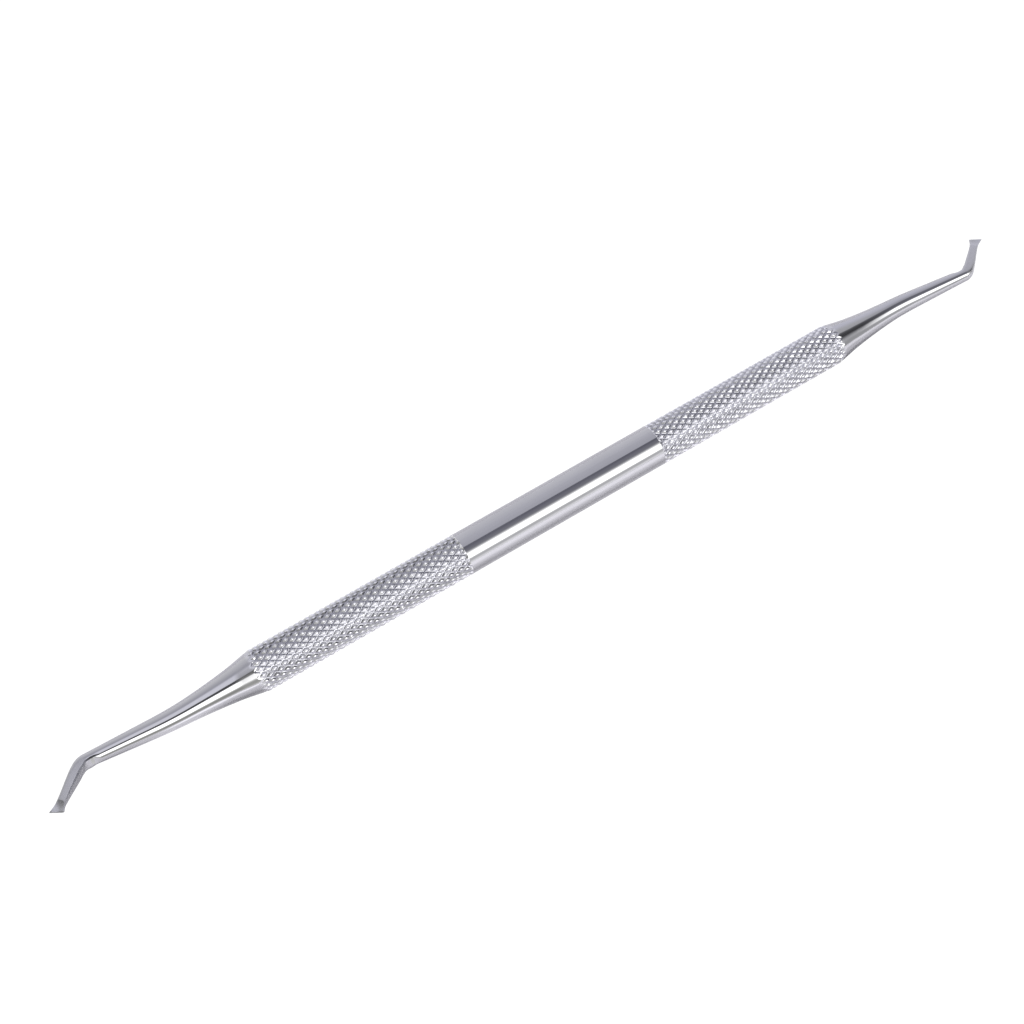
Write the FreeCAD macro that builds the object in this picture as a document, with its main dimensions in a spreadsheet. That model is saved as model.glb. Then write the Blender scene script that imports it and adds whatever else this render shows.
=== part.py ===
import FreeCAD, Part
import math
import os
import Sketcher

# Double-ended cuticle pusher in stainless steel: a round handle bar with two knurled
# grips, and a bent working end pressed into a blind bore at each end of it.
#
# Frame: X runs along the handle, the bends lie in planes parallel to XY, Z is up.
# The origin is under the middle of the handle, on the plane the grips rest on.
# The right working end turns its tip to +Y; the left one is the same piece turned
# half a turn about Z.

App = FreeCAD
ORIGIN, X_AXIS, Y_AXIS = -1, -1, -2     # sketch geometry indices
START, END, CENTRE = 1, 2, 3            # sketch point positions

# name, value in millimetres or degrees, meaning
DIMENSIONS = [
    ("middle_radius", 3.0, "polished middle of the handle"),
    ("middle_length", 31.5, "polished middle, from grip to grip"),
    ("grip_radius", 3.045, "over the crests of the knurling"),
    ("grip_length", 30.9, "knurled grip, up to the shoulder edge"),
    ("nose_length", 2.0, "knurled shoulder chamfer beyond the grip"),
    ("nose_radius", 2.65, "small end of the shoulder chamfer, flush with the working end"),
    ("bore_radius", 1.5, "blind bore in each end of the handle"),
    ("bore_depth", 13.5, "straight depth of the bore"),
    ("drill_point", 0.9, "height of the drilled cone at the bottom of the bore"),
    ("tang_radius", 1.5, "pressed tang of the working end, size on size in the bore"),
    ("tang_length", 12.5, "tang, from the seat face inwards"),
    ("tang_lead", 0.4, "lead chamfer on the tang"),
    ("cone_length", 0.87, "straight cone next to the handle"),
    ("cone_angle", 11.1, "half angle of that cone"),
    ("throat_radius", 23.3, "first, tighter arc of the trumpet"),
    ("throat_angle", 8.0, "slope where the first arc meets the second"),
    ("flank_radius", 91.7, "second, slow arc of the trumpet"),
    ("taper_end", 8.24, "seat face to the start of the gentle back bend"),
    ("back_bend_radius", 60.0, "gentle bend away from the tip side"),
    ("back_bend_angle", 4.76, "turn of the gentle bend"),
    ("shank_straight", 9.28, "slim straight run between the two bends"),
    ("elbow_radius", 1.9, "centreline radius of the elbow"),
    ("elbow_angle", 44.5, "turn of the elbow"),
    ("elbow_thickness", 1.84, "shank diameter where the elbow ends"),
    ("elbow_width", 1.74, "width of the squared section where the elbow ends"),
    ("elbow_corner", 0.8, "its corner radius"),
    ("flat_at", 1.1, "from the elbow to the fully squared section"),
    ("flat_width", 1.47, "its width in the plane of the bend"),
    ("flat_thickness", 1.66, "its thickness across that plane"),
    ("flat_corner", 0.3, "its corner radius"),
    ("neck_at", 4.4, "from the elbow to the narrowest section"),
    ("neck_width", 1.19, "width at the neck"),
    ("neck_thickness", 0.8, "thickness at the neck"),
    ("neck_corner", 0.2, "corner radius at the neck"),
    ("blade_at", 6.1, "from the elbow to the middle of the pushing edge"),
    ("blade_width", 1.96, "length of the pushing edge"),
    ("blade_thickness", 0.12, "thickness left at the pushing edge"),
    ("blade_corner", 0.05, "its corner radius"),
    ("blade_skew", 18.0, "lean of the pushing edge, its corner outside the elbow furthest out"),
    ("hollow_radius", 5.9, "hollow grind on the upper face of the blade"),
    ("hollow_lowest", 2.05, "from the neck to the lowest point of the hollow grind"),
    ("hollow_floor", 0.05, "height of that point above the middle of the blade"),
]


def fill_sheet(document):
    """Writes the driving dimensions to the document's spreadsheet."""
    sheet = document.addObject("Spreadsheet::Sheet", "Sizes")
    for row, (alias, value, meaning) in enumerate(DIMENSIONS, start=1):
        sheet.set("A%d" % row, alias)
        sheet.set("B%d" % row, str(value))
        sheet.set("C%d" % row, meaning)
        sheet.setAlias("B%d" % row, alias)
    document.recompute()
    return sheet


def origin_plane(body, role):
    """One of a body's own origin planes, such as XY_Plane."""
    return next(item for item in body.Origin.OriginFeatures if item.Role == role)


def add_sketch(body, name, role):
    """An empty sketch on one of the body's origin planes."""
    sketch = body.newObject("Sketcher::SketchObject", name)
    sketch.AttachmentSupport = [(origin_plane(body, role), "")]
    sketch.MapMode = "FlatFace"
    return sketch


def bind(sketch, constraint, expression):
    """Adds a named constraint and drives it from the spreadsheet."""
    index = sketch.addConstraint(constraint)
    name = "size_%d" % index
    sketch.renameConstraint(index, name)
    sketch.setExpression("Constraints." + name, expression)


def pin_point(sketch, geometry, position, x_expression, y_expression, guess):
    """Fixes a point by two driven distances from the sketch's origin; None puts it on the axis."""
    if x_expression is None:
        sketch.addConstraint(Sketcher.Constraint("PointOnObject", geometry, position, Y_AXIS))
    else:
        across = Sketcher.Constraint("DistanceX", ORIGIN, START, geometry, position, guess.x)
        bind(sketch, across, x_expression)
    if y_expression is None:
        sketch.addConstraint(Sketcher.Constraint("PointOnObject", geometry, position, X_AXIS))
    else:
        up = Sketcher.Constraint("DistanceY", ORIGIN, START, geometry, position, guess.y)
        bind(sketch, up, y_expression)


def closed_outline(sketch, corners):
    """A closed polygon; each corner is (x, y, x_expression, y_expression)."""
    points = [App.Vector(x, y, 0) for x, y, _, _ in corners]
    count = len(points)
    for i in range(count):
        sketch.addGeometry(Part.LineSegment(points[i], points[(i + 1) % count]), False)
    for i in range(count):
        sketch.addConstraint(Sketcher.Constraint("Coincident", i, END, (i + 1) % count, START))
    for i, (_, _, x_expression, y_expression) in enumerate(corners):
        pin_point(sketch, i, START, x_expression, y_expression, points[i])


def build_handle(document, sizes):
    """The handle bar: middle, grips, shoulder chamfers and a blind bore in each end."""
    body = document.addObject("PartDesign::Body", "Handle")
    body.Label = "handle"

    middle = "Sizes.middle_length / 2"
    shoulder = middle + " + Sizes.grip_length"
    end = shoulder + " + Sizes.nose_length"
    middle_x = sizes.middle_length / 2
    shoulder_x = middle_x + sizes.grip_length
    end_x = shoulder_x + sizes.nose_length

    outside = add_sketch(body, "HalfProfile", "XZ_Plane")
    closed_outline(outside, [
        (0, 0, None, None),
        (end_x, 0, end, None),
        (end_x, sizes.nose_radius, end, "Sizes.nose_radius"),
        (shoulder_x, sizes.grip_radius, shoulder, "Sizes.grip_radius"),
        (middle_x, sizes.grip_radius, middle, "Sizes.grip_radius"),
        (middle_x, sizes.middle_radius, middle, "Sizes.middle_radius"),
        (0, sizes.middle_radius, None, "Sizes.middle_radius"),
    ])
    turned = body.newObject("PartDesign::Revolution", "TurnedBar")
    turned.Profile = outside
    turned.ReferenceAxis = (outside, ["H_Axis"])
    turned.Angle = 360
    document.recompute()

    floor = end + " - Sizes.bore_depth"
    floor_x = end_x - sizes.bore_depth
    drilled = add_sketch(body, "BoreProfile", "XZ_Plane")
    closed_outline(drilled, [
        (floor_x - sizes.drill_point, 0, floor + " - Sizes.drill_point", None),
        (end_x, 0, end, None),
        (end_x, sizes.bore_radius, end, "Sizes.bore_radius"),
        (floor_x, sizes.bore_radius, floor, "Sizes.bore_radius"),
    ])
    bore = body.newObject("PartDesign::Groove", "BlindBore")
    bore.Profile = drilled
    bore.ReferenceAxis = (drilled, ["H_Axis"])
    bore.Angle = 360
    document.recompute()
    if bore.Shape.Volume >= turned.Shape.Volume:
        raise RuntimeError("the bore removed nothing")

    other_half = body.newObject("PartDesign::Mirrored", "OtherHalf")
    other_half.Originals = [turned, bore]
    other_half.MirrorPlane = (origin_plane(body, "YZ_Plane"), [""])
    other_half.Refine = True
    body.Tip = other_half
    return body


# the trumpet is a cone, then two arcs, each tangent to the one before
THROAT_RUN = "Sizes.throat_radius * (sin(Sizes.cone_angle) - sin(Sizes.throat_angle))"
FLANK_END_SINE = (
    "(sin(Sizes.throat_angle)"
    " - (Sizes.taper_end - Sizes.cone_length - %s) / Sizes.flank_radius)" % THROAT_RUN
)
TAPER_END_RADIUS = (
    "Sizes.nose_radius - Sizes.cone_length * tan(Sizes.cone_angle)"
    " - Sizes.throat_radius * (cos(Sizes.throat_angle) - cos(Sizes.cone_angle))"
    " - Sizes.flank_radius * (sqrt(1 - %s ^ 2) - cos(Sizes.throat_angle))" % FLANK_END_SINE
)


def trumpet_point(sizes, x):
    """Point of the trumpet's outline, x from the seat face; the same sums as above."""
    cone, throat = math.radians(sizes.cone_angle), math.radians(sizes.throat_angle)
    radius = sizes.nose_radius - math.tan(cone) * min(x, sizes.cone_length)
    arcs = [(sizes.throat_radius, cone, throat), (sizes.flank_radius, throat, 0.0)]
    start = sizes.cone_length
    for arc_radius, first, last in arcs:
        end = start + arc_radius * (math.sin(first) - math.sin(last))
        sine = math.sin(first) - max(min(x, end) - start, 0.0) / arc_radius
        radius -= arc_radius * (math.sqrt(1 - sine * sine) - math.cos(first))
        start = end
    return App.Vector(x, radius, 0)


def build_taper(document, body, sizes):
    """Tang and trumpet-shaped taper, turned about the X axis."""
    sketch = add_sketch(body, "TaperProfile", "XZ_Plane")
    vector = App.Vector
    tang, lead = sizes.tang_radius, sizes.tang_lead
    sines = [math.sin(math.radians(angle)) for angle in (sizes.cone_angle, sizes.throat_angle)]
    throat_run = sizes.throat_radius * (sines[0] - sines[1])
    cone_end = trumpet_point(sizes, sizes.cone_length)
    throat_end = trumpet_point(sizes, sizes.cone_length + throat_run)
    flank_end = trumpet_point(sizes, sizes.taper_end)
    corners = [
        vector(sizes.taper_end, 0, 0),
        vector(-sizes.tang_length, 0, 0),
        vector(-sizes.tang_length, tang - lead, 0),
        vector(-sizes.tang_length + lead, tang, 0),
        vector(0, tang, 0),
        vector(0, sizes.nose_radius, 0),
        cone_end,
    ]
    for first, second in zip(corners, corners[1:]):
        sketch.addGeometry(Part.LineSegment(first, second), False)
    cone, throat, flank, close = 5, 6, 7, 8
    between_throat = trumpet_point(sizes, (cone_end.x + throat_end.x) / 2)
    between_flank = trumpet_point(sizes, (throat_end.x + flank_end.x) / 2)
    sketch.addGeometry(Part.Arc(cone_end, between_throat, throat_end), False)
    sketch.addGeometry(Part.Arc(throat_end, between_flank, flank_end), False)
    sketch.addGeometry(Part.LineSegment(flank_end, corners[0]), False)

    for i in range(cone):
        sketch.addConstraint(Sketcher.Constraint("Coincident", i, END, i + 1, START))
    pin_point(sketch, 0, START, "Sizes.taper_end", None, corners[0])
    pin_point(sketch, 0, END, "-Sizes.tang_length", None, corners[1])
    pin_point(sketch, 1, END, "-Sizes.tang_length", "Sizes.tang_radius - Sizes.tang_lead", corners[2])
    pin_point(sketch, 2, END, "-Sizes.tang_length + Sizes.tang_lead", "Sizes.tang_radius", corners[3])
    pin_point(sketch, 3, END, None, "Sizes.tang_radius", corners[4])
    pin_point(sketch, 4, END, None, "Sizes.nose_radius", corners[5])

    # an arc drawn clockwise keeps its first point at END: find each by place
    def side(geometry, place):
        distance = sketch.getPoint(geometry, START).distanceToPoint(place)
        return START if distance < 1e-6 else END

    throat_in, throat_out = side(throat, cone_end), side(throat, throat_end)
    flank_in, flank_out = side(flank, throat_end), side(flank, flank_end)
    sketch.addConstraint(Sketcher.Constraint("Tangent", cone, END, throat, throat_in))
    sketch.addConstraint(Sketcher.Constraint("Tangent", throat, throat_out, flank, flank_in))
    sketch.addConstraint(Sketcher.Constraint("Coincident", flank, flank_out, close, START))
    sketch.addConstraint(Sketcher.Constraint("Coincident", close, END, 0, START))
    sketch.addConstraint(Sketcher.Constraint("Vertical", close))
    across = Sketcher.Constraint("DistanceX", cone, START, cone, END, sizes.cone_length)
    bind(sketch, across, "Sizes.cone_length")
    drop = sizes.nose_radius - cone_end.y
    down = Sketcher.Constraint("DistanceY", cone, END, cone, START, drop)
    bind(sketch, down, "Sizes.cone_length * tan(Sizes.cone_angle)")
    bind(sketch, Sketcher.Constraint("Radius", throat, sizes.throat_radius), "Sizes.throat_radius")
    bind(sketch, Sketcher.Constraint("Radius", flank, sizes.flank_radius), "Sizes.flank_radius")
    run = Sketcher.Constraint("DistanceX", throat, throat_in, throat, throat_out, throat_run)
    bind(sketch, run, THROAT_RUN)

    taper = body.newObject("PartDesign::Revolution", "TangAndTaper")
    taper.Profile = sketch
    taper.ReferenceAxis = (sketch, ["H_Axis"])
    taper.Angle = 360
    document.recompute()


def build_shank(document, body, sizes):
    """Round shank through the back bend and the elbow, tapering evenly along its path."""
    vector = App.Vector
    path = add_sketch(body, "ShankPath", "XY_Plane")
    back, rise = sizes.back_bend_angle, sizes.elbow_angle - sizes.back_bend_angle
    turn_back = App.Rotation(vector(0, 0, 1), -back)
    turn_up = App.Rotation(vector(0, 0, 1), rise)
    half_back = App.Rotation(vector(0, 0, 1), -back / 2)
    half_up = App.Rotation(vector(0, 0, 1), (rise - back) / 2)
    up = vector(0, 1, 0)
    start = vector(sizes.taper_end, 0, 0)
    back_centre = start - up * sizes.back_bend_radius
    back_end = back_centre + turn_back.multVec(up) * sizes.back_bend_radius
    back_middle = back_centre + half_back.multVec(up) * sizes.back_bend_radius
    elbow_start = back_end + turn_back.multVec(vector(1, 0, 0)) * sizes.shank_straight
    elbow_centre = elbow_start + turn_back.multVec(up) * sizes.elbow_radius
    elbow_middle = elbow_centre - half_up.multVec(up) * sizes.elbow_radius
    elbow_end = elbow_centre - turn_up.multVec(up) * sizes.elbow_radius
    path.addGeometry(Part.Arc(start, back_middle, back_end), False)
    path.addGeometry(Part.LineSegment(back_end, elbow_start), False)
    path.addGeometry(Part.Arc(elbow_start, elbow_middle, elbow_end), False)

    # the back bend runs clockwise, so its sketch arc starts where the bend ends
    bend, straight, elbow = 0, 1, 2
    pin_point(path, bend, END, "Sizes.taper_end", None, start)
    path.addConstraint(Sketcher.Constraint("Tangent", bend, START, straight, START))
    path.addConstraint(Sketcher.Constraint("Tangent", straight, END, elbow, START))
    path.addConstraint(Sketcher.Constraint("Vertical", bend, END, bend, CENTRE))
    bind(path, Sketcher.Constraint("Radius", bend, sizes.back_bend_radius), "Sizes.back_bend_radius")
    bind(path, Sketcher.Constraint("Radius", elbow, sizes.elbow_radius), "Sizes.elbow_radius")
    length = Sketcher.Constraint(
        "DistanceX", straight, START, straight, END, elbow_start.x - back_end.x)
    bind(path, length, "Sizes.shank_straight * cos(Sizes.back_bend_angle)")
    bend_run = Sketcher.Constraint("DistanceX", bend, END, bend, START, back_end.x - start.x)
    bind(path, bend_run, "Sizes.back_bend_radius * sin(Sizes.back_bend_angle)")
    elbow_run = Sketcher.Constraint(
        "DistanceX", elbow, START, elbow, END, elbow_end.x - elbow_start.x)
    bind(path, elbow_run,
         "Sizes.elbow_radius * (sin(Sizes.elbow_angle - Sizes.back_bend_angle)"
         " + sin(Sizes.back_bend_angle))")

    thick = add_sketch(body, "ShankStart", "YZ_Plane")
    thick.AttachmentOffset = App.Placement(vector(0, 0, sizes.taper_end), App.Rotation())
    thick.setExpression("AttachmentOffset.Base.z", "Sizes.taper_end")
    start_radius = trumpet_point(sizes, sizes.taper_end).y
    thick.addGeometry(Part.Circle(vector(0, 0, 0), vector(0, 0, 1), start_radius), False)
    thick.addConstraint(Sketcher.Constraint("Coincident", 0, CENTRE, ORIGIN, START))
    bind(thick, Sketcher.Constraint("Radius", 0, start_radius), TAPER_END_RADIUS)

    thin = add_sketch(body, "ShankEnd", "YZ_Plane")
    place_on_tip(thin, sizes, "0", False)
    radius = sizes.elbow_thickness / 2
    thin.addGeometry(Part.Circle(vector(0, 0, 0), vector(0, 0, 1), radius), False)
    thin.addConstraint(Sketcher.Constraint("Coincident", 0, CENTRE, ORIGIN, START))
    bind(thin, Sketcher.Constraint("Radius", 0, radius), "Sizes.elbow_thickness / 2")
    document.recompute()

    shank = body.newObject("PartDesign::AdditivePipe", "BentShank")
    shank.Profile = thick
    shank.Spine = (path, ["Edge1", "Edge2", "Edge3"])
    shank.Sections = [thin]
    shank.Transformation = "Multisection"
    shank.Mode = "Standard"
    document.recompute()


ELBOW_END_X = (
    "Sizes.taper_end + Sizes.back_bend_radius * sin(Sizes.back_bend_angle)"
    " + Sizes.shank_straight * cos(Sizes.back_bend_angle)"
    " + Sizes.elbow_radius * (sin(Sizes.elbow_angle - Sizes.back_bend_angle)"
    " + sin(Sizes.back_bend_angle))"
)
ELBOW_END_Y = (
    "-Sizes.back_bend_radius * (1 - cos(Sizes.back_bend_angle))"
    " - Sizes.shank_straight * sin(Sizes.back_bend_angle)"
    " + Sizes.elbow_radius * (cos(Sizes.back_bend_angle)"
    " - cos(Sizes.elbow_angle - Sizes.back_bend_angle))"
)
TIP_ANGLE = "(Sizes.elbow_angle - Sizes.back_bend_angle)"


def place_on_tip(sketch, sizes, along, skewed):
    """Puts a YZ-plane sketch across the tip, a given way past the elbow.

    The YZ plane's own axes are Y, Z and X, so its offset is written in that order.
    """
    angle = sizes.elbow_angle - sizes.back_bend_angle + (sizes.blade_skew if skewed else 0)
    turn = App.Rotation(App.Vector(0, 1, 0), angle)
    sketch.AttachmentOffset = App.Placement(App.Vector(), turn)
    sketch.setExpression(
        "AttachmentOffset.Base.z", "%s + %s * cos%s" % (ELBOW_END_X, along, TIP_ANGLE))
    sketch.setExpression(
        "AttachmentOffset.Base.x", "%s + %s * sin%s" % (ELBOW_END_Y, along, TIP_ANGLE))
    skew = " + Sizes.blade_skew" if skewed else ""
    sketch.setExpression("AttachmentOffset.Rotation.Angle", TIP_ANGLE[1:-1] + skew)


def rounded_section(body, sizes, name, station):
    """A rectangle with round corners, across the tip, for the forged and ground length."""
    vector = App.Vector
    sketch = add_sketch(body, name, "YZ_Plane")
    along = "0" if station == "elbow" else "Sizes.%s_at" % station
    place_on_tip(sketch, sizes, along, station == "blade")
    w = getattr(sizes, station + "_width") / 2
    t = getattr(sizes, station + "_thickness") / 2
    r = getattr(sizes, station + "_corner")
    corners = [(w, t), (-w, t), (-w, -t), (w, -t)]
    edges = []
    for i, (x, y) in enumerate(corners):
        before = corners[i - 1]
        inward = vector(-1 if x > 0 else 1, -1 if y > 0 else 1, 0)
        along_x, along_y = vector(inward.x * r, 0, 0), vector(0, inward.y * r, 0)
        corner = vector(x, y, 0)
        centre = corner + along_x + along_y
        rim = centre - inward * (r / inward.Length)
        vertical_side = before[0] == x
        first, last = (corner + along_y, corner + along_x)
        if not vertical_side:
            first, last = last, first
        edges.append((first, rim, last))
    for i in range(4):
        first, rim, last = edges[i]
        following = edges[(i + 1) % 4][0]
        sketch.addGeometry(Part.Arc(first, rim, last), False)
        sketch.addGeometry(Part.LineSegment(last, following), False)
    for i in range(4):
        arc, side, following = 2 * i, 2 * i + 1, (2 * i + 2) % 8
        sketch.addConstraint(Sketcher.Constraint("Tangent", arc, END, side, START))
        sketch.addConstraint(Sketcher.Constraint("Tangent", side, END, following, START))
        level = "Horizontal" if i % 2 == 0 else "Vertical"
        sketch.addConstraint(Sketcher.Constraint(level, side))
    for arc in (2, 4, 6):
        sketch.addConstraint(Sketcher.Constraint("Equal", 0, arc))
    bind(sketch, Sketcher.Constraint("Radius", 0, r), "Sizes.%s_corner" % station)
    top, left, bottom, right = 1, 3, 5, 7
    for side, sign, half in ((left, "-", "width"), (right, "", "width")):
        place = Sketcher.Constraint("DistanceX", ORIGIN, START, side, START, -w if sign else w)
        bind(sketch, place, "%sSizes.%s_%s / 2" % (sign, station, half))
    for side, sign, half in ((bottom, "-", "thickness"), (top, "", "thickness")):
        place = Sketcher.Constraint("DistanceY", ORIGIN, START, side, START, -t if sign else t)
        bind(sketch, place, "%sSizes.%s_%s / 2" % (sign, station, half))
    return sketch


def build_tip(document, body, sizes):
    """Forged tip: squared behind the elbow, waisted at the neck, flared to a thin skewed edge."""
    stations = ("elbow", "flat", "neck", "blade")
    sections = [rounded_section(body, sizes, "Section_" + name, name) for name in stations]
    document.recompute()
    tip = body.newObject("PartDesign::AdditiveLoft", "ForgedTip")
    tip.Profile = sections[0]
    tip.Sections = sections[1:]
    tip.Ruled = True
    document.recompute()
    return tip


def grind_hollow(document, body, sizes, tip):
    """Cuts the hollow-ground upper face of the blade with a wheel-shaped pocket."""
    sketch = add_sketch(body, "WheelProfile", "XZ_Plane")
    angle = sizes.elbow_angle - sizes.back_bend_angle
    sketch.AttachmentOffset = App.Placement(App.Vector(), App.Rotation(App.Vector(0, 1, 0), -angle))
    sketch.setExpression("AttachmentOffset.Base.x", ELBOW_END_X)
    sketch.setExpression("AttachmentOffset.Base.z", "-(%s)" % ELBOW_END_Y)
    sketch.setExpression("AttachmentOffset.Rotation.Angle", TIP_ANGLE[1:-1])
    centre = App.Vector(sizes.neck_at + sizes.hollow_lowest, sizes.hollow_floor + sizes.hollow_radius, 0)
    sketch.addGeometry(Part.Circle(centre, App.Vector(0, 0, 1), sizes.hollow_radius), False)
    pin_point(sketch, 0, CENTRE, "Sizes.neck_at + Sizes.hollow_lowest",
              "Sizes.hollow_floor + Sizes.hollow_radius", centre)
    bind(sketch, Sketcher.Constraint("Radius", 0, sizes.hollow_radius), "Sizes.hollow_radius")
    document.recompute()
    hollow = body.newObject("PartDesign::Pocket", "HollowGrind")
    hollow.Profile = sketch
    hollow.Type = "ThroughAll"
    hollow.Midplane = True
    document.recompute()
    if hollow.Shape.Volume >= tip.Shape.Volume:
        raise RuntimeError("the hollow grind removed nothing")


def build_working_end(document, sizes, name, label, side):
    """One working end; side is +1 for the right end and -1 for the left."""
    body = document.addObject("PartDesign::Body", name)
    body.Label = label
    build_taper(document, body, sizes)
    build_shank(document, body, sizes)
    tip = build_tip(document, body, sizes)
    grind_hollow(document, body, sizes, tip)

    seat = "Sizes.middle_length / 2 + Sizes.grip_length + Sizes.nose_length"
    turn = App.Rotation(App.Vector(0, 0, 1), 0 if side > 0 else 180)
    body.Placement = App.Placement(App.Vector(0, 0, 0), turn)
    body.setExpression("Placement.Base.x", seat if side > 0 else "-(%s)" % seat)
    body.setExpression("Placement.Base.z", "Sizes.grip_radius")
    return body


def check(document, bodies):
    """Stops if any feature failed or any piece is not one sound solid."""
    for item in document.Objects:
        if "Invalid" in item.State or "Error" in item.State:
            raise RuntimeError("%s failed: %s" % (item.Name, item.State))
    for body in bodies:
        shape = body.Shape
        if shape.isNull() or not shape.isValid() or len(shape.Solids) != 1:
            raise RuntimeError("%s is not one valid solid" % body.Label)


def main():
    document = FreeCAD.newDocument("CuticlePusher")
    sizes = fill_sheet(document)
    handle = build_handle(document, sizes)
    handle.setExpression("Placement.Base.z", "Sizes.grip_radius")
    right = build_working_end(document, sizes, "WorkingEndRight", "working_end_right", 1)
    left = build_working_end(document, sizes, "WorkingEndLeft", "working_end_left", -1)
    document.recompute()
    bodies = [handle, right, left]
    check(document, bodies)
    os.makedirs("parts", exist_ok=True)
    for body in bodies:
        body.Shape.exportStep("parts/%s.step" % body.Label)
        box = body.Shape.optimalBoundingBox(False)
        print("%s: %.2f mm3, x %.2f to %.2f, y %.2f to %.2f, z %.2f to %.2f" % (
            body.Label, body.Shape.Volume,
            box.XMin, box.XMax, box.YMin, box.YMax, box.ZMin, box.ZMax))


main()
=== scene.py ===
import math

import bpy
import numpy as np
from mathutils import Matrix, Vector, noise


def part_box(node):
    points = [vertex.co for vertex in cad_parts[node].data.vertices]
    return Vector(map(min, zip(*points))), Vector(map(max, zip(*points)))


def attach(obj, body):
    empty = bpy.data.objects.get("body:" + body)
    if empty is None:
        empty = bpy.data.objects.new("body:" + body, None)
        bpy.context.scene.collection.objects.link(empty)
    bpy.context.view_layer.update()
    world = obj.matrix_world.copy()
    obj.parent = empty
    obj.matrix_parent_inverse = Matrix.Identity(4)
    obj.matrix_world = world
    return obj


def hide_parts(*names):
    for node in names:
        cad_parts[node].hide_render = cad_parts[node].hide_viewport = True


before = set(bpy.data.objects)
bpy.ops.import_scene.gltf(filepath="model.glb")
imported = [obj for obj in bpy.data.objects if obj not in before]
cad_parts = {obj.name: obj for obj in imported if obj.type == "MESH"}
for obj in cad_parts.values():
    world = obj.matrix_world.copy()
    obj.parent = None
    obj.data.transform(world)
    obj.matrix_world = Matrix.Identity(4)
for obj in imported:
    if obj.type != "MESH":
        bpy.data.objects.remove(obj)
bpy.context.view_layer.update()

MM = 0.001

# ---------------------------------------------------------------- frame
handle_low, handle_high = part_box("handle")
HANDLE_HALF = handle_high.x / MM                # seat plane of each working end
GRIP_RADIUS = (handle_high.z - handle_low.z) / 2 / MM
AXIS_HEIGHT = (handle_high.z + handle_low.z) / 2 / MM
TANG_LENGTH = HANDLE_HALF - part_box("working_end_right")[0].x / MM

# ---------------------------------------------------------------- handle, in millimetres
MIDDLE_RADIUS = 3.0
MIDDLE_HALF = 15.75
NOSE_RADIUS = 2.65
CONE_ANGLE = math.radians(11.1)
BORE_RADIUS = 1.5
BORE_DEPTH = 13.5
DRILL_POINT = 0.9
APEX_RADIUS = 0.02                              # of the flat that closes a drilled point or a tang
MIDDLE_RINGS = 15
STARTS = 20                                     # helical grooves of each hand
STEPS = 5                                       # mesh steps from a groove to a crest
KNURL_ROWS = 212                                # rows from the middle to the seat plane
KNURL_DEPTH = 0.30
GROOVE_EDGE = 0.324                             # half width of a groove, in groove spacings
CREST_DROP = 0.058                              # from the top of a crest to its worn edge
DEPTH_MEAN, DEPTH_SPREAD = 0.94, 0.12           # slight unevenness, as shares of the groove depth
NOISE_ALONG, NOISE_ROUND = 0.9, 3.1             # how quickly it changes along and round the grip
RIM = 0.02                                      # width of the step between middle and grip
RUN_IN, RUN_IN_START = 0.30, 0.45               # where the knurl is full depth; share at the step
RUN_OUT, RUN_OUT_END = 4.0, 0.5                 # the same towards the seat plane
CREASE = math.radians(36)                       # sharper edges than this are not shaded smooth

# ---------------------------------------------------------------- working end, in millimetres
CONE_LENGTH = 0.87
THROAT_RADIUS, THROAT_ANGLE = 23.3, math.radians(8.0)
FLANK_RADIUS, SHANK_ANGLE = 91.7, math.radians(2.53)
TAPER_END = 8.24
BACK_BEND_RADIUS, BACK_BEND_ANGLE = 60.0, math.radians(4.76)
SHANK_STRAIGHT = 9.28
ELBOW_RADIUS, ELBOW_ANGLE = 1.9, math.radians(44.5)
TIP_LENGTH = 6.1
BLADE_SKEW = math.tan(math.radians(18.0))
CORNER_RADIUS = 0.28                            # of the inner corner of the edge
EDGE_ROUNDING = 0.20                            # the upper face turns down over this length
EDGE_LEFT = 0.2                                 # share of the height that is left at the edge
NECK_AT = 4.4
HOLLOW_RADIUS, HOLLOW_CENTRE, HOLLOW_FLOOR = 4.5, 6.25, 0.05
HOLLOW_REACH = 0.9                              # the hollow rises over this share of its radius
HOLLOW_CUP = 0.12                               # rise of the hollow at 1 mm from its middle
END_CREASE = math.radians(30)                   # as CREASE, for the bent ends
TANG_RADIUS, TANG_LEAD = 1.5, 0.4


def new_piece(name, verts, faces, smooth, crease, replaced):
    """A closed mesh, given in millimetres in the row frame, riding on the only body."""
    mesh = bpy.data.meshes.new(name)
    mesh.from_pydata((np.asarray(verts) * MM).tolist(), [], faces)
    mesh.polygons.foreach_set("use_smooth", np.asarray(smooth, dtype=bool))
    mesh.set_sharp_from_angle(angle=crease)
    mesh.update()
    piece = bpy.data.objects.new(name, mesh)
    bpy.context.scene.collection.objects.link(piece)
    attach(piece, "root")
    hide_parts(replaced)
    return piece


def circle(count):
    """Cosines and sines of evenly spaced angles round a ring."""
    angles = np.arange(count) * 2 * math.pi / count
    return np.cos(angles), np.sin(angles)


def ring_faces(first, second, count):
    """Quads between two rings of vertices, which start at the given indices."""
    return [
        (first + i, first + (i + 1) % count, second + (i + 1) % count, second + i)
        for i in range(count)
    ]


def end_caps(rings, count):
    """The two polygons that close a tube made of that many rings."""
    last = (rings - 1) * count
    return [tuple(reversed(range(count))), tuple(last + i for i in range(count))]


# ---------------------------------------------------------------- handle mesh
PERIOD = 2.0 * STEPS                            # mesh steps from one groove to the next
COLUMNS = STARTS * 2 * STEPS
ROW_STEP = (HANDLE_HALF - MIDDLE_HALF) / KNURL_ROWS


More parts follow.
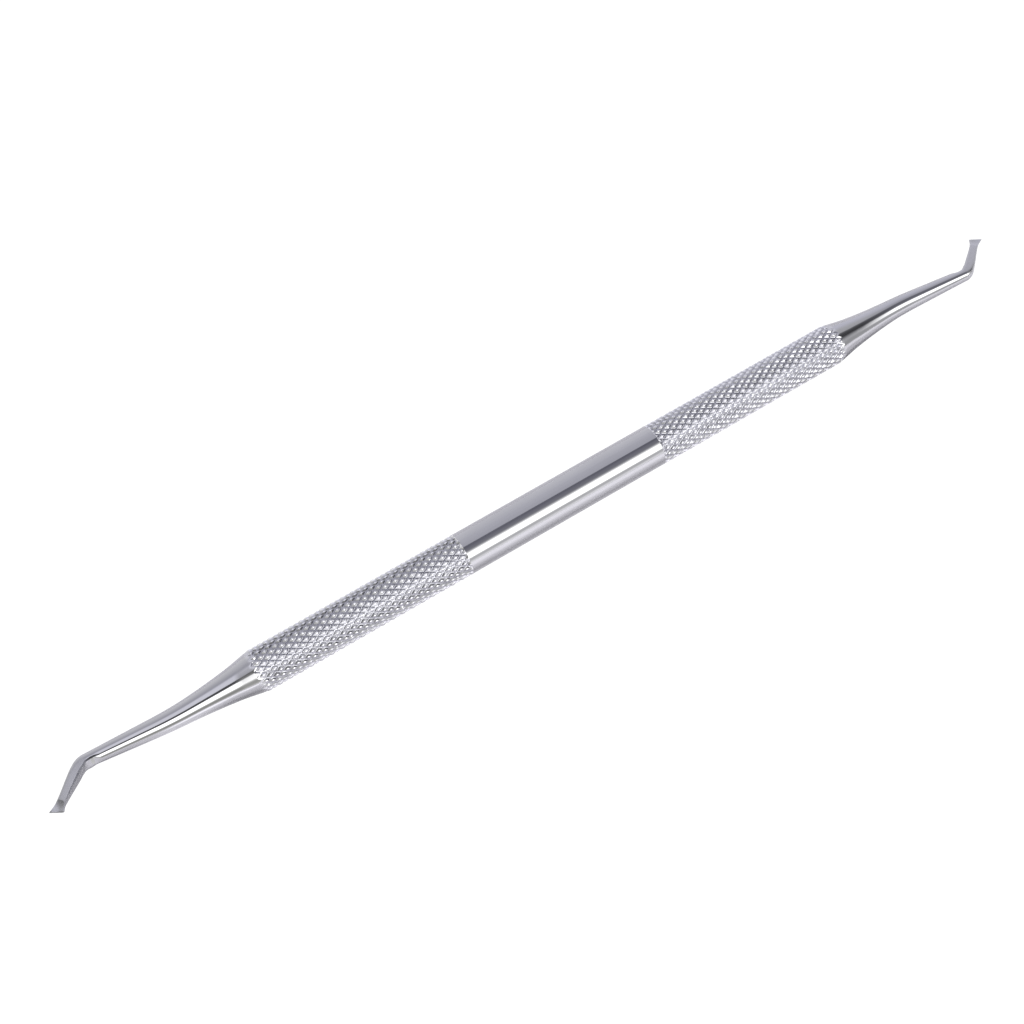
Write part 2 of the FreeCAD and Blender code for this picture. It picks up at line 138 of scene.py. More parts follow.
def groove(position):
    """Depth of one family of round-bottomed grooves, whose middles are whole positions."""
    away = np.abs(position - np.round(position))
    wall = np.clip(1.0 - (away / GROOVE_EDGE) ** 2, 0.0, 1.0)
    crown = np.clip((0.5 - away) / (0.5 - GROOVE_EDGE), 0.0, 1.0) ** 2
    return (KNURL_DEPTH - CREST_DROP) * wall + CREST_DROP * crown


def knurl_radius(side, row):
    """Radii of one ring of the diamond-knurled surface, cut back by the turned shoulder."""
    column = np.arange(COLUMNS)
    depth = np.maximum(groove((column - row) / PERIOD), groove((column + row) / PERIOD))
    x = row * ROW_STEP
    depth = depth * np.clip(RUN_IN_START + (1.0 - RUN_IN_START) * x / RUN_IN, 0.0, 1.0)
    depth = depth * np.clip(RUN_OUT_END + (HANDLE_HALF - MIDDLE_HALF - x) / RUN_OUT, 0.0, 1.0)
    uneven = [
        noise.noise(Vector((side * x * NOISE_ALONG, NOISE_ROUND * cosine, NOISE_ROUND * sine)))
        for cosine, sine in zip(*circle(COLUMNS))
    ]
    surface = GRIP_RADIUS - depth * (DEPTH_MEAN + DEPTH_SPREAD * np.array(uneven))
    cone = NOSE_RADIUS + math.tan(CONE_ANGLE) * (HANDLE_HALF - MIDDLE_HALF - x)
    return np.minimum(surface, cone)


def handle_rings():
    """Rings from the left seat plane to the right one, as (x, radii, knurled)."""
    left, right = [], []
    for row in range(KNURL_ROWS + 1):
        x = MIDDLE_HALF + row * ROW_STEP
        left.append((-x, knurl_radius(-1, row), True))
        right.append((x, knurl_radius(1, row), True))
    plain = np.full(COLUMNS, MIDDLE_RADIUS)
    edge = MIDDLE_HALF - RIM
    middle = [(x, plain, False) for x in np.linspace(-edge, edge, MIDDLE_RINGS)]
    return left[::-1] + middle + right


def build_handle():
    """Handle bar with diamond knurling, turned shoulders and a blind bore in each end."""
    cosine, sine = circle(COLUMNS)
    bore = [
        (BORE_RADIUS, 0.0), (BORE_RADIUS, BORE_DEPTH), (APEX_RADIUS, BORE_DEPTH + DRILL_POINT),
    ]
    bore_right = [(HANDLE_HALF - depth, np.full(COLUMNS, r), False) for r, depth in bore]
    bore_left = [(-x, radii, False) for x, radii, _ in reversed(bore_right)]
    chain = bore_left + handle_rings() + bore_right

    verts = []
    for x, radii, _ in chain:
        ring = np.column_stack([np.full(COLUMNS, x), radii * cosine, AXIS_HEIGHT + radii * sine])
        verts.extend(ring.tolist())

    faces = []
    for k in range(len(chain) - 1):
        quads = ring_faces(k * COLUMNS, (k + 1) * COLUMNS, COLUMNS)
        x0, x1 = chain[k][0], chain[k + 1][0]
        if not (chain[k][2] and chain[k + 1][2]):
            faces.extend(quads)
            continue
        # each quad is split along the groove that it is nearest to
        row = (abs(x0 + x1) / 2 - MIDDLE_HALF) / ROW_STEP
        for i, (a, b, c, d) in enumerate(quads):
            rising = groove((i + 0.5 - row) / PERIOD) > groove((i + 0.5 + row) / PERIOD)
            if rising == (x0 > 0):
                faces.extend([(a, b, c), (a, c, d)])
            else:
                faces.extend([(a, b, d), (b, c, d)])
    smooth = [True] * len(faces) + [False, False]
    faces.extend(end_caps(len(chain), COLUMNS))
    return new_piece("knurled_handle", verts, faces, smooth, CREASE, "handle")


# ---------------------------------------------------------------- working end mesh
def trumpet_radius(x):
    """Radius of the turned taper and shank, by distance from the seat plane."""
    s0, s1, s2 = math.sin(CONE_ANGLE), math.sin(THROAT_ANGLE), math.sin(SHANK_ANGLE)
    c0, c1 = math.cos(CONE_ANGLE), math.cos(THROAT_ANGLE)
    radius = NOSE_RADIUS - math.tan(CONE_ANGLE) * min(x, CONE_LENGTH)
    if x <= CONE_LENGTH:
        return radius
    throat_end = CONE_LENGTH + THROAT_RADIUS * (s0 - s1)
    slope = s0 - (min(x, throat_end) - CONE_LENGTH) / THROAT_RADIUS
    radius -= THROAT_RADIUS * (math.sqrt(1 - slope * slope) - c0)
    if x <= throat_end:
        return radius
    flank_end = throat_end + FLANK_RADIUS * (s1 - s2)
    slope = s1 - (min(x, flank_end) - throat_end) / FLANK_RADIUS
    radius -= FLANK_RADIUS * (math.sqrt(1 - slope * slope) - c1)
    return radius - math.tan(SHANK_ANGLE) * max(x - flank_end, 0.0)


RUNS = [
    (TAPER_END, 0.0),
    (BACK_BEND_RADIUS * BACK_BEND_ANGLE, -1.0 / BACK_BEND_RADIUS),
    (SHANK_STRAIGHT, 0.0),
    (ELBOW_RADIUS * ELBOW_ANGLE, 1.0 / ELBOW_RADIUS),
    (TIP_LENGTH, 0.0),
]
ELBOW_START = sum(length for length, _ in RUNS[:3])
ELBOW_END = sum(length for length, _ in RUNS[:4])
CENTRELINE = sum(length for length, _ in RUNS)


def centreline(s):
    """Point and heading of the centreline in the plane of the bends, at arc length s."""
    x, y, heading = 0.0, 0.0, 0.0
    for length, curvature in RUNS:
        run = min(max(s, 0.0), length)
        turn = curvature * run
        if curvature:
            x += (math.sin(heading + turn) - math.sin(heading)) / curvature
            y += (math.cos(heading) - math.cos(heading + turn)) / curvature
        else:
            x += run * math.cos(heading)
            y += run * math.sin(heading)
        heading += turn
        s -= run
    return x, y, heading


def smooth_through(points, at):
    """A monotone cubic through (position, value) points."""
    xs, ys = (np.array(column, float) for column in zip(*points))
    slopes = np.diff(ys) / np.diff(xs)
    tangents = np.concatenate([[slopes[0]], (slopes[:-1] + slopes[1:]) / 2, [slopes[-1]]])
    for i in range(1, len(xs) - 1):
        if slopes[i - 1] * slopes[i] <= 0:
            tangents[i] = 0.0
        else:
            limit = 3 * min(abs(slopes[i - 1]), abs(slopes[i]))
            tangents[i] = np.sign(tangents[i]) * min(abs(tangents[i]), limit)
    at = min(max(at, xs[0]), xs[-1])
    i = min(int(np.searchsorted(xs, at, side="right")) - 1, len(slopes) - 1)
    width = xs[i + 1] - xs[i]
    t = (at - xs[i]) / width
    return float(
        (1 + 2 * t) * (1 - t) ** 2 * ys[i]
        + t * (1 - t) ** 2 * width * tangents[i]
        + t * t * (3 - 2 * t) * ys[i + 1]
        + t * t * (t - 1) * width * tangents[i + 1]
    )


ELBOW_IN = HANDLE_HALF + centreline(ELBOW_START)[0]     # x of the start of the elbow

# Tables by distance from the end of the elbow. A flat is ground on the upper side of the inner
# face. The upper face ends at its brink, and the flat runs from there down to the widest point.
HALF_WIDTH = [
    (-1.48, 0.950), (0.0, 0.800), (1.1, 0.735), (NECK_AT, 0.590), (5.2, 0.640),
    (TIP_LENGTH, 0.925),
]
HALF_THICKNESS = [
    (-1.48, 0.950), (0.0, 0.905), (1.1, 0.830), (NECK_AT, 0.420), (5.2, 0.250),
    (TIP_LENGTH, 0.075),
]
SQUARENESS = [(-1.48, 2.0), (0.0, 3.2), (1.1, 5.5), (NECK_AT, 6.5), (TIP_LENGTH, 8.0)]
# 0 is the rounded section, 1 the full flat; past the elbow it is the tip's square inner side
CRISPNESS = [(-3.2, 0.0), (-2.65, 0.9), (-2.1, 1.0)]
# from the middle of the section to the brink
BRINK = [(-3.2, 0.52), (-2.2, 0.44), (-1.5, 0.55), (-1.0, 0.74), (-0.5, 0.86), (0.0, 1.0)]
# extra material inside the elbow, on the lower side
ELBOW_FILL = [(-2.4, 0.0), (-1.4, 0.19), (-0.6, 0.15), (0.6, 0.0)]
# share of the skew of the pushing edge that the section has
LEAN = [(2.5, 0.0), (NECK_AT, 0.25), (TIP_LENGTH, 1.0)]
FILL_RISE = 2.5                                 # how soon the fill starts below half height
BEVEL_SHARE = 0.30                              # width of the bevel along the brink, in thicknesses
BEVEL_SLOPE = math.tan(math.radians(23))
SECTION_POINTS = 96
FLARE_START = ELBOW_END + NECK_AT - 0.6         # a little before the neck
CORNER_START = CENTRELINE - CORNER_RADIUS
# (arc length where a stretch of rings starts, number of rings in it)
RING_STRETCHES = [
    (0.0, 60), (TAPER_END, 50), (ELBOW_START, 28), (ELBOW_END, 40), (FLARE_START, 52),
    (CORNER_START, 14),
]


def roof(across, along, brink, thickness):
    """Height of the upper face: bevelled up to its inner brink, hollow-ground towards the edge."""
    bevel = np.maximum(across - brink + BEVEL_SHARE * thickness, 0.0) * BEVEL_SLOPE
    reach = np.clip(HOLLOW_CENTRE - along, 0.0, HOLLOW_RADIUS * HOLLOW_REACH)
    hollow = HOLLOW_FLOOR + HOLLOW_RADIUS - np.sqrt(HOLLOW_RADIUS ** 2 - reach ** 2)
    return np.minimum(thickness - bevel, hollow + HOLLOW_CUP * across ** 2)


def tip_outline(u, cosine, sine):
    """Section round the elbow and along the tip, at a distance u from the end of the elbow."""
    if u + ELBOW_END <= ELBOW_START:
        width = thickness = trumpet_radius(u + ELBOW_END)
    else:
        width, thickness = smooth_through(HALF_WIDTH, u), smooth_through(HALF_THICKNESS, u)
    into_corner = max(u - (TIP_LENGTH - CORNER_RADIUS), 0.0)
    trim = CORNER_RADIUS - math.sqrt(max(CORNER_RADIUS ** 2 - into_corner ** 2, 0.0))
    inner = cosine > 0
    reach = np.where(inner, width - trim, width)
    brink = min(width - trim, smooth_through(BRINK, u))
    skew = BLADE_SKEW * smooth_through(LEAN, u)

    power = 2.0 / smooth_through(SQUARENESS, u)
    across = reach * np.sign(cosine) * np.abs(cosine) ** power
    up = thickness * np.sign(sine) * np.abs(sine) ** power
    low = np.clip(-FILL_RISE * sine, 0.0, 1.0)
    across = across + np.where(inner, smooth_through(ELBOW_FILL, u) * cosine * low, 0.0)
    up = np.minimum(up, roof(across, u - across * skew, brink, thickness))

    # the flat: the upper face up to the brink, then a straight line down to the widest point
    top_across = brink * np.minimum(math.sqrt(2) * cosine, 1.0)
    top = roof(top_across, u - top_across * skew, brink, thickness)
    down = 1.0 - np.clip(math.sqrt(2) * sine, 0.0, 1.0)        # 0 at the brink, 1 at half height
    crisp = np.where(inner & (sine >= 0), smooth_through(CRISPNESS, u), 0.0)
    across = across + crisp * (top_across + (width - trim - brink) * down - across)
    up = up + crisp * (top * (1.0 - down) - up)
    return across, up, -across * skew


def section(s):
    """Cross-section at arc length s: how far each point is across, up and along."""
    cosine, sine = circle(SECTION_POINTS)
    u = s - ELBOW_END
    if u <= CRISPNESS[0][0]:
        across, up = trumpet_radius(s) * cosine, trumpet_radius(s) * sine
        lean = np.zeros(SECTION_POINTS)
    else:
        across, up, lean = tip_outline(u, cosine, sine)
    past = (u - (TIP_LENGTH - EDGE_ROUNDING)) / EDGE_ROUNDING
    if past > 0:
        up = np.where(up > 0, up * math.sqrt(max(1.0 - past ** 2, EDGE_LEFT ** 2)), up)
    return across, up, lean


def stations():
    """Arc lengths of the rings, closer together where the shape turns or flares."""
    parts = [
        np.linspace(start, end, count, endpoint=False)
        for (start, count), (end, _) in zip(RING_STRETCHES, RING_STRETCHES[1:])
    ]
    turn = np.linspace(0.0, math.pi / 2, RING_STRETCHES[-1][1])
    return np.concatenate(parts + [CORNER_START + CORNER_RADIUS * np.sin(turn)])


def build_working_end(side, name, node):
    """One bent end; side is 1 for the right end and -1 for the left, half a turn round."""
    cosine, sine = circle(SECTION_POINTS)
    tang = [
        (-TANG_LENGTH, APEX_RADIUS), (-TANG_LENGTH, TANG_RADIUS - TANG_LEAD),
        (-TANG_LENGTH + TANG_LEAD, TANG_RADIUS), (0.0, TANG_RADIUS),
    ]
    rings = [
        np.column_stack([np.full(SECTION_POINTS, x), radius * cosine, radius * sine])
        for x, radius in tang
    ]
    for s in stations():
        across, up, lean = section(s)
        x, y, heading = centreline(s)
        along = np.array([math.cos(heading), math.sin(heading), 0.0])
        left = np.array([-math.sin(heading), math.cos(heading), 0.0])
        centre = np.array([x, y, 0.0])
        ring = centre + np.outer(across, left) + np.outer(lean, along)
        ring[:, 2] += up
        rings.append(ring)
    verts = np.concatenate(rings)
    verts[:, 0] += HANDLE_HALF
    verts[:, 0] *= side
    verts[:, 1] *= side
    verts[:, 2] += AXIS_HEIGHT

    faces, smooth = [], []
    for k in range(len(rings) - 1):
        faces.extend(ring_faces(k * SECTION_POINTS, (k + 1) * SECTION_POINTS, SECTION_POINTS))
        smooth.extend([k >= len(tang)] * SECTION_POINTS)
    faces.extend(end_caps(len(rings), SECTION_POINTS))
    smooth.extend([False, False])
    return new_piece(name, verts, faces, smooth, END_CREASE, node)


# ---------------------------------------------------------------- materials
STEEL_TONES = (0.515, 0.515, 0.52), (0.555, 0.555, 0.56)
CREST_HIGHLIGHT_AND_GROOVE_SHADE_TONES = (0.94, 0.94, 0.95), (0.34, 0.34, 0.37)   # crests and groove floors of the knurl: painted highlight on the crests, painted shade on the groove floors
# scales of the noise, per metre
LINE_SCALE, LINE_STRETCH = 2600.0, (0.02, 1.0, 1.0)     # brushing lines along the tool
CLOUD_SCALE = 160.0
GROUND_GRAIN, ROLLED_GRAIN = 7000.0, 5200.0
NOISE_DETAIL, CLOUD_DETAIL = 4.0, 3.0
NOISE_RANGE, TONE_RANGE = (0.3, 0.7), (0.35, 0.65)      # the part of the noise that is used
# roughness of the polished steel, and what the other finishes add to it
POLISHED, GROUND, ROLLED, GROOVE_FLOOR = (0.05, 0.10), (0.14, 0.26), (0.01, 0.07), 0.05
GROUND_FROM, GROUND_FULL = ELBOW_IN - 0.1, ELBOW_IN + 0.3
HIGHLIGHT_DOWN_TO = 0.06                           # millimetres below the crests that the painted highlight reaches; below it the painted shade deepens
NOSE_FADE = 2.0, 0.8                            # millimetres before the seat plane
# heights of the bump: the shares of its parts, its distance in metres and its strength
GRAIN_BUMP, END_BUMP = 0.8, (2e-6, 0.25)
HANDLE_LINE_BUMP, ROLLED_BUMP, HANDLE_BUMP = 0.4, 6.0, (3e-6, 0.3)


class Nodes:
    """Short calls for building a shader."""

    def __init__(self, name=None, tree=None):
        self.tree = tree
        if name:
            self.material = bpy.data.materials.new(name)
            self.material.use_nodes = True
            self.tree = self.material.node_tree
            self.shader = self.tree.nodes["Principled BSDF"]

    def add(self, kind, **settings):
        node = self.tree.nodes.new(kind)
        for key, value in settings.items():
            setattr(node, key, value)
        return node

    def put(self, socket, value):
        """Link a socket to another node's output, or set it to a number or a colour."""
        if isinstance(value, bpy.types.NodeSocket):
            self.tree.links.new(value, socket)
        elif isinstance(value, tuple):
            socket.default_value = (*value, 1)
        else:
            socket.default_value = value

    def split(self, coordinates):
        """A texture coordinate as a vector, and its X, Y and Z."""
        vector = self.add("ShaderNodeTexCoord").outputs[coordinates]
        node = self.add("ShaderNodeSeparateXYZ")
        self.put(node.inputs[0], vector)
        return vector, *node.outputs

    def math(self, operation, *operands):
        node = self.add("ShaderNodeMath", operation=operation)
        for socket, value in zip(node.inputs, operands):
            self.put(socket, value)
        return node.outputs[0]

    def noise(self, vector, scale, detail, stretch=(1, 1, 1)):
        mapping = self.add("ShaderNodeMapping")
        mapping.inputs["Scale"].default_value = stretch
        self.put(mapping.inputs["Vector"], vector)
        texture = self.add("ShaderNodeTexNoise")
        self.put(texture.inputs["Scale"], scale)
        self.put(texture.inputs["Detail"], detail)
        self.put(texture.inputs["Vector"], mapping.outputs["Vector"])
        return texture.outputs["Fac"]

    def spread(self, value, low, high, out_low=0.0, out_high=1.0):
        """A value brought from one range to another, and held inside it."""
        node = self.add("ShaderNodeMapRange")
        ends = {"From Min": low, "From Max": high, "To Min": out_low, "To Max": out_high}
        for key, number in ends.items():
            self.put(node.inputs[key], number)
        self.put(node.inputs["Value"], value)
        return node.outputs["Result"]

    def mix(self, factor, first, second):
        node = self.add("ShaderNodeMix", data_type="RGBA")
        for key, value in (("Factor", factor), ("A", first), ("B", second)):
            self.put(node.inputs[key], value)
        return node.outputs["Result"]

    def ramp(self, value, stops):
        """A colour ramp through (position, colour) stops."""
        node = self.add("ShaderNodeValToRGB")
        elements = node.color_ramp.elements
        while len(elements) < len(stops):
            elements.new(0.5)
        for element, (position, colour) in zip(elements, stops):
            element.position = position
            element.color = (*colour, 1)
        self.put(node.inputs[0], value)
        return node.outputs[0]

    def to_camera(self, elsewhere, seen, output):
        """Show the camera one shader, and light and reflections the other."""
        choose = self.add("ShaderNodeMixShader")
        self.put(choose.inputs[0], self.add("ShaderNodeLightPath").outputs["Is Camera Ray"])
        self.put(choose.inputs[1], elsewhere.outputs[0])
        self.put(choose.inputs[2], seen.outputs[0])
        self.put(output, choose.outputs[0])


class Steel(Nodes):
    """Stainless steel with faint brushing lines along the tool, which both finishes share."""

    def __init__(self, name):
        super().__init__(name)
        self.place, x, self.y, self.z = self.split("Object")
        self.away = self.math("ABSOLUTE", x)
        self.lines = self.noise(self.place, LINE_SCALE, NOISE_DETAIL, LINE_STRETCH)
        clouds = self.noise(self.place, CLOUD_SCALE, CLOUD_DETAIL)
        halves = (self.math("MULTIPLY", part, 0.5) for part in (self.lines, clouds))
        self.tone = self.mix(self.spread(self.math("ADD", *halves), *TONE_RANGE), *STEEL_TONES)
        self.polish = self.spread(self.lines, *NOISE_RANGE, *POLISHED)
        self.put(self.shader.inputs["Metallic"], 1.0)

    def grain(self, scale, roughness, where):
        """The noise of a duller finish, and the roughness that it adds where it is."""
        grain = self.noise(self.place, scale, NOISE_DETAIL)
        return grain, self.math("MULTIPLY", where, self.spread(grain, *NOISE_RANGE, *roughness))

    def finish(self, tone, roughness, height, distance, strength):
        """Connect the colour, the roughness and the bump, and return the material."""
        bump = self.add("ShaderNodeBump")
        self.put(bump.inputs["Strength"], strength)
        self.put(bump.inputs["Distance"], distance)
        self.put(bump.inputs["Height"], height)
        self.put(self.shader.inputs["Normal"], bump.outputs["Normal"])
        self.put(self.shader.inputs["Base Color"], tone)
        self.put(self.shader.inputs["Roughness"], roughness)
        return self.material


def end_material():
    """Polished taper and shank, finely ground beyond the elbow."""
    steel = Steel("polished_steel")
    ground = steel.spread(steel.away, GROUND_FROM * MM, GROUND_FULL * MM)
    grain, matt = steel.grain(GROUND_GRAIN, GROUND, ground)
    rough = steel.math("ADD", steel.polish, matt)
    ground_grain = steel.math("MULTIPLY", steel.math("MULTIPLY", grain, ground), GRAIN_BUMP)
    height = steel.math("ADD", steel.lines, ground_grain)
    return steel.finish(steel.tone, rough, height, *END_BUMP)


def knurled_material():
    """Polished middle, and grips whose crests are painted bright as a highlight and whose groove
    floors are painted darker as shade, and are duller.
    """
    steel = Steel("knurled_steel")
    up = steel.math("SUBTRACT", steel.z, AXIS_HEIGHT * MM)
    squares = (steel.math("MULTIPLY", part, part) for part in (steel.y, up))
    radius = steel.math("SQRT", steel.math("ADD", *squares))
    floor_radius, highlight_radius = GRIP_RADIUS - KNURL_DEPTH, GRIP_RADIUS - HIGHLIGHT_DOWN_TO
    depth = steel.spread(radius, floor_radius * MM, highlight_radius * MM, 1.0, 0.0)
    past_middle = steel.math("GREATER_THAN", steel.away, MIDDLE_HALF * MM)
    fade = ((HANDLE_HALF - distance) * MM for distance in NOSE_FADE)
    on_grip = steel.math("MULTIPLY", past_middle, steel.spread(steel.away, *fade, 1.0, 0.0))
    # how deep a point lies in the grooves: this paints shade into the colour and also makes the
    # floors duller
    groove_shade_and_dullness = steel.math("MULTIPLY", depth, on_grip)
    # on the grip the colour goes from a painted highlight on the crests to painted shade on the
    # groove floors
    tone = steel.mix(on_grip, steel.tone, steel.mix(groove_shade_and_dullness, *CREST_HIGHLIGHT_AND_GROOVE_SHADE_TONES))
    rolled = steel.grain(ROLLED_GRAIN, ROLLED, on_grip)[1]
    dull = steel.math("MULTIPLY", groove_shade_and_dullness, GROOVE_FLOOR)
    rough = steel.math("ADD", steel.math("ADD", steel.polish, rolled), dull)
    line_height = steel.math("MULTIPLY", steel.lines, HANDLE_LINE_BUMP)
    height = steel.math("ADD", line_height, steel.math("MULTIPLY", rolled, ROLLED_BUMP))
    return steel.finish(tone, rough, height, *HANDLE_BUMP)


# ---------------------------------------------------------------- stage
# Brightness of the studio round the long axis of the tool, as (degrees from +Y over the top,
# brightness, how blue). There is a dark gap overhead, and a soft box in front above the tool.
FAR_LEFT = [
    (0, 0.85, 1.00), (30, 0.80, 1.02), (50, 0.75, 1.03), (62, 0.62, 1.03), (70, 0.26, 1.03),
    (100, 0.24, 1.03), (112, 0.45, 1.00), (147, 0.70, 1.00), (156, 0.60, 1.00), (180, 1.0, 1.0),
]
LEFT = [
    (0, 0.92, 1.05), (13, 0.87, 1.06), (29, 0.78, 1.08), (45, 0.66, 1.10), (57, 0.56, 1.14),
    (63, 0.57, 1.14), (69, 0.82, 1.14), (75, 1.03, 1.12), (94, 1.05, 1.12), (101, 0.95, 1.10),
    (103.5, 0.10, 1.10), (114, 0.10, 1.10), (118.5, 0.50, 1.05), (122.5, 3.0, 1.00),
    (145.5, 3.0, 1.00), (150.5, 1.30, 0.99), (157, 0.50, 0.97), (168, 0.42, 0.97),
    (175, 0.58, 0.98), (180, 1.02, 1.00),
]
MIDDLE = [
    (0, 0.88, 1.09), (12, 0.86, 1.09), (30, 0.80, 1.10), (45, 0.74, 1.12), (57, 0.70, 1.13),
    (72, 0.64, 1.14), (87.5, 0.62, 1.14), (90, 0.20, 1.25), (96, 0.19, 1.25), (104, 0.25, 1.22),
    (114, 0.30, 1.15), (119, 0.48, 1.10), (123, 0.98, 1.02), (128, 1.80, 1.00), (132, 3.0, 1.00),
    (152, 3.0, 1.00), (155, 1.70, 1.00), (158, 0.86, 1.02), (162, 0.75, 1.04), (168, 0.75, 1.04),
    (174, 1.10, 1.04), (180, 1.27, 1.03),
]
RIGHT = [
    (0, 0.88, 1.10), (12, 0.87, 1.12), (30, 0.82, 1.15), (45, 0.77, 1.17), (57, 0.71, 1.15),
    (68, 0.60, 1.14), (78, 0.55, 1.14), (83, 0.28, 1.20), (92, 0.22, 1.20), (106, 0.22, 1.20),
    (113, 0.32, 1.15), (119, 0.80, 1.05), (123.5, 3.0, 1.00), (146, 3.0, 1.00), (151, 1.30, 1.00),
    (155, 0.66, 1.04), (170, 0.60, 1.04), (176, 0.62, 1.04), (180, 0.85, 1.04),
]
FAR_RIGHT = [
    (0, 0.87, 1.14), (30, 0.83, 1.16), (45, 0.74, 1.12), (57, 0.66, 1.07), (70, 0.62, 1.07),
    (80, 0.60, 1.07), (86, 0.20, 1.10), (95, 0.10, 1.10), (113, 0.07, 1.10), (120, 0.20, 1.10),
    (131, 0.48, 1.05), (142, 0.64, 1.05), (155, 0.53, 1.05), (168, 0.50, 1.05), (180, 0.66, 1.05),
]
RIGHT_EDGE = [(0, 0.86, 1.04), (60, 0.80, 1.08), (120, 0.78, 1.05), (180, 0.82, 1.03)]
STUDIO_PEAK = 3.0
# where the next stretch of the studio takes over, as the x part of a direction
STRETCHES = [
    (-0.38, -0.26, LEFT), (-0.10, 0.10, MIDDLE), (0.40, 0.50, RIGHT), (0.57, 0.68, FAR_RIGHT),
    (0.81, 0.90, RIGHT_EDGE),
]
# light that the paper gives off, by millimetres in front of (-) or behind the long axis,
# where PAPER_FULL stands for an emission strength of 1
PAPER_FULL = 0.6
PAPER_GLOW = [
    (-18, 0.58), (-15.5, 0.52), (-11, 0.29), (-8.5, 0.14), (-6.5, 0.15), (-4.2, 0.26),
    (-3.2, 0.35), (0, 0.35), (4, 0.0),
]
PAPER_REACH = 20.0
# and the share of it that is left along the axis
PAPER_ALONG = [
    (-75, 0.17), (-68, 0.12), (-64.5, 0.45), (-61.5, 1.0), (-57, 1.0), (-53, 0.35), (-50, 0.15),
    (-45, 0.6), (35, 0.6), (50, 0.03), (57, 0.15), (64, 0.42),
]
PAPER_LENGTH = 80.0
PAPER_TINT = (1.0, 0.985, 1.045)
PAPER_ALBEDO = 0.55
WHITE = 1.1                                     # paper and backdrop, as the camera sees them
FLOOR_HALF = 3.0                                # metres
LAMP_ENERGY, LAMP_ANGLE, LAMP_TILT = 2.8, math.radians(24), math.radians(-40)


def paper_stops(table, reach):
    """Colour ramp stops of one of the paper's tables, which goes from -reach to reach."""
    return [(0.5 + at / 2 / reach, [level] * 3) for at, level in table]


def sky_stops(table):
    """Colour ramp stops of one stretch of the studio."""
    return [
        (degrees / 180, [level / STUDIO_PEAK, level / STUDIO_PEAK, level * blue / STUDIO_PEAK])
        for degrees, level, blue in table
    ]


def paper_material():
    """Paper that the camera sees as plain white, and the steel as glowing unevenly."""
    paper = Nodes("white_paper")
    settings = {
        "Base Color": tuple(PAPER_ALBEDO * tint for tint in PAPER_TINT), "Roughness": 1.0,
        "Specular IOR Level": 0.0, "Emission Color": PAPER_TINT,
    }
    for key, value in settings.items():
        paper.put(paper.shader.inputs[key], value)
    _, x, y, _ = paper.split("Object")
    across = paper.spread(y, -PAPER_REACH * MM, PAPER_REACH * MM)
    along = paper.spread(x, -PAPER_LENGTH * MM, PAPER_LENGTH * MM)
    glow = paper.math("MULTIPLY", paper.ramp(across, paper_stops(PAPER_GLOW, PAPER_REACH)),
                      paper.ramp(along, paper_stops(PAPER_ALONG, PAPER_LENGTH)))
    paper.put(paper.shader.inputs["Emission Strength"], paper.math("DIVIDE", glow, PAPER_FULL))
    seen = paper.add("ShaderNodeEmission")
    paper.put(seen.inputs["Strength"], WHITE)
    paper.to_camera(paper.shader, seen, paper.tree.nodes["Material Output"].inputs["Surface"])
    return paper.material


def build_floor():
    """The flat sheet of paper that the tool lies on."""
    mesh = bpy.data.meshes.new("floor")
    low, high = -FLOOR_HALF, FLOOR_HALF
    corners = [(low, low, 0), (high, low, 0), (high, high, 0), (low, high, 0)]
    mesh.from_pydata(corners, [], [(0, 1, 2, 3)])
    mesh.materials.append(paper_material())
    floor = bpy.data.objects.new("floor", mesh)
    bpy.context.scene.collection.objects.link(floor)


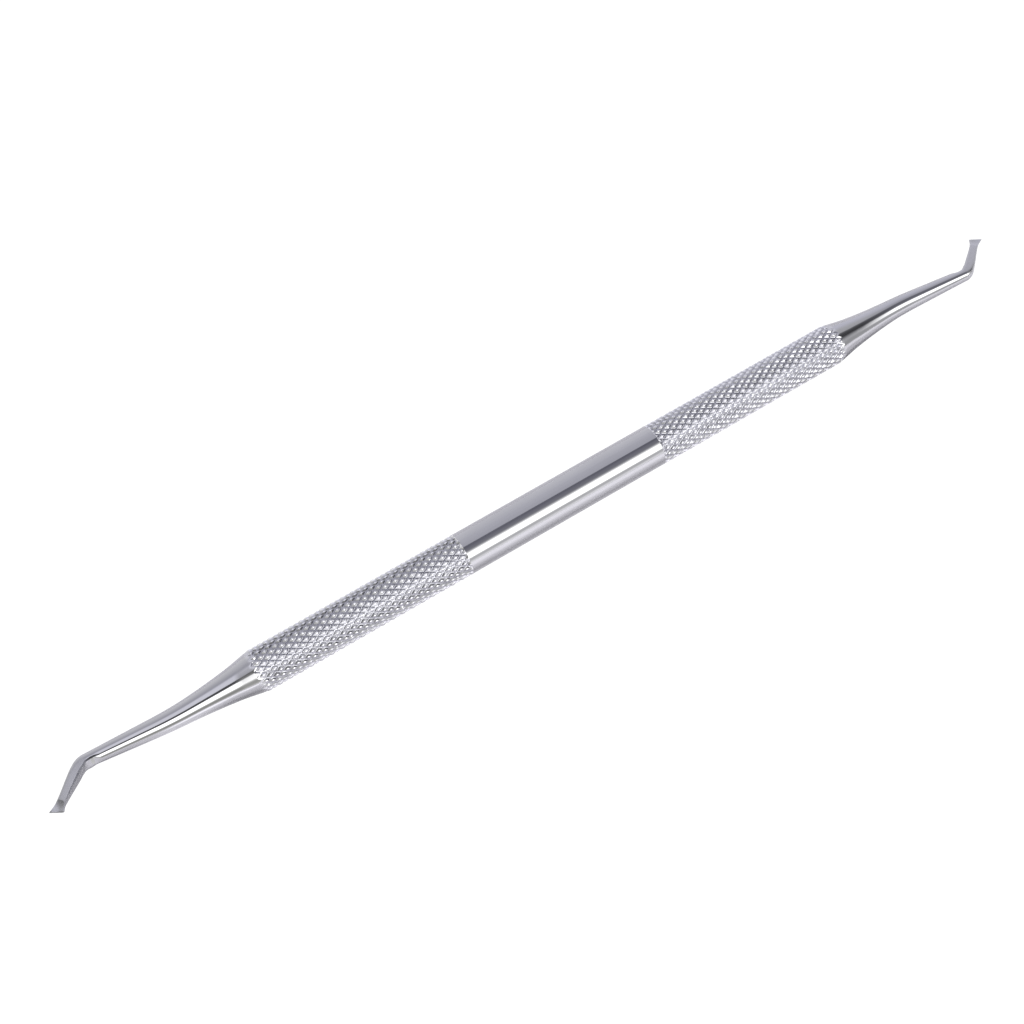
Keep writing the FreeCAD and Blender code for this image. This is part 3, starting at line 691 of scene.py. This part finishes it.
def build_studio():
    """Long soft surfaces parallel to the tool; the camera itself sees a plain white backdrop."""
    world = bpy.data.worlds.new("studio")
    bpy.context.scene.world = world
    world.use_nodes = True
    studio = Nodes(tree=world.node_tree)
    studio.tree.nodes.clear()
    _, x, y, z = studio.split("Generated")
    share = studio.math("DIVIDE", studio.math("ARCTAN2", z, y), math.pi)
    colour = studio.ramp(share, sky_stops(FAR_LEFT))
    for start, end, table in STRETCHES:
        following = studio.ramp(share, sky_stops(table))
        colour = studio.mix(studio.spread(x, start, end), colour, following)
    room = studio.add("ShaderNodeBackground")
    studio.put(room.inputs["Strength"], STUDIO_PEAK)
    studio.put(room.inputs["Color"], colour)
    backdrop = studio.add("ShaderNodeBackground")
    studio.put(backdrop.inputs["Color"], (1, 1, 1))
    studio.put(backdrop.inputs["Strength"], WHITE)
    studio.to_camera(room, backdrop, studio.add("ShaderNodeOutputWorld").inputs[0])


def build_lamp():
    """A soft lamp behind the tool, so that the steel reflects shaded paper in front of it."""
    data = bpy.data.lights.new("paper_lamp", "SUN")
    data.energy = LAMP_ENERGY
    data.angle = LAMP_ANGLE
    lamp = bpy.data.objects.new("paper_lamp", data)
    bpy.context.scene.collection.objects.link(lamp)
    lamp.rotation_euler = (LAMP_TILT, 0, 0)
    lamp.visible_glossy = False


# ---------------------------------------------------------------- camera
AIM = Vector((-6.5, 1.9, AXIS_HEIGHT)) * MM
CAMERA_AZIMUTH, CAMERA_ELEVATION = math.radians(-27.9), math.radians(58.25)
CAMERA_ROLL = math.radians(-5.33)
CAMERA_DISTANCE = 217.75 * MM
LENS, SENSOR = 55.8, 36.0                       # millimetres
CLIP = 0.01, 20.0                               # metres


def build_camera():
    """The camera looks down at the tool from the front left, a little turned about its own axis."""
    flat, height = math.cos(CAMERA_ELEVATION), math.sin(CAMERA_ELEVATION)
    east, north = math.cos(CAMERA_AZIMUTH), math.sin(CAMERA_AZIMUTH)
    back = Vector((north * flat, -east * flat, height))
    right = Matrix.Rotation(CAMERA_ROLL, 3, back) @ Vector((east, north, 0))
    up = back.cross(right)
    data = bpy.data.cameras.new("camera")
    data.lens, data.sensor_width = LENS, SENSOR
    data.clip_start, data.clip_end = CLIP
    camera = bpy.data.objects.new("camera", data)
    bpy.context.scene.collection.objects.link(camera)
    axes = Matrix((right, up, back)).transposed().to_4x4()
    camera.matrix_world = Matrix.Translation(AIM + back * CAMERA_DISTANCE) @ axes
    bpy.context.scene.camera = camera


def main():
    build_handle().data.materials.append(knurled_material())
    end_steel = end_material()
    for side, name, node in (
        (1, "right_pusher", "working_end_right"), (-1, "left_pusher", "working_end_left"),
    ):
        build_working_end(side, name, node).data.materials.append(end_steel)
    build_floor()
    build_studio()
    build_lamp()
    build_camera()
    bpy.context.scene.view_settings.view_transform = "Standard"


main()
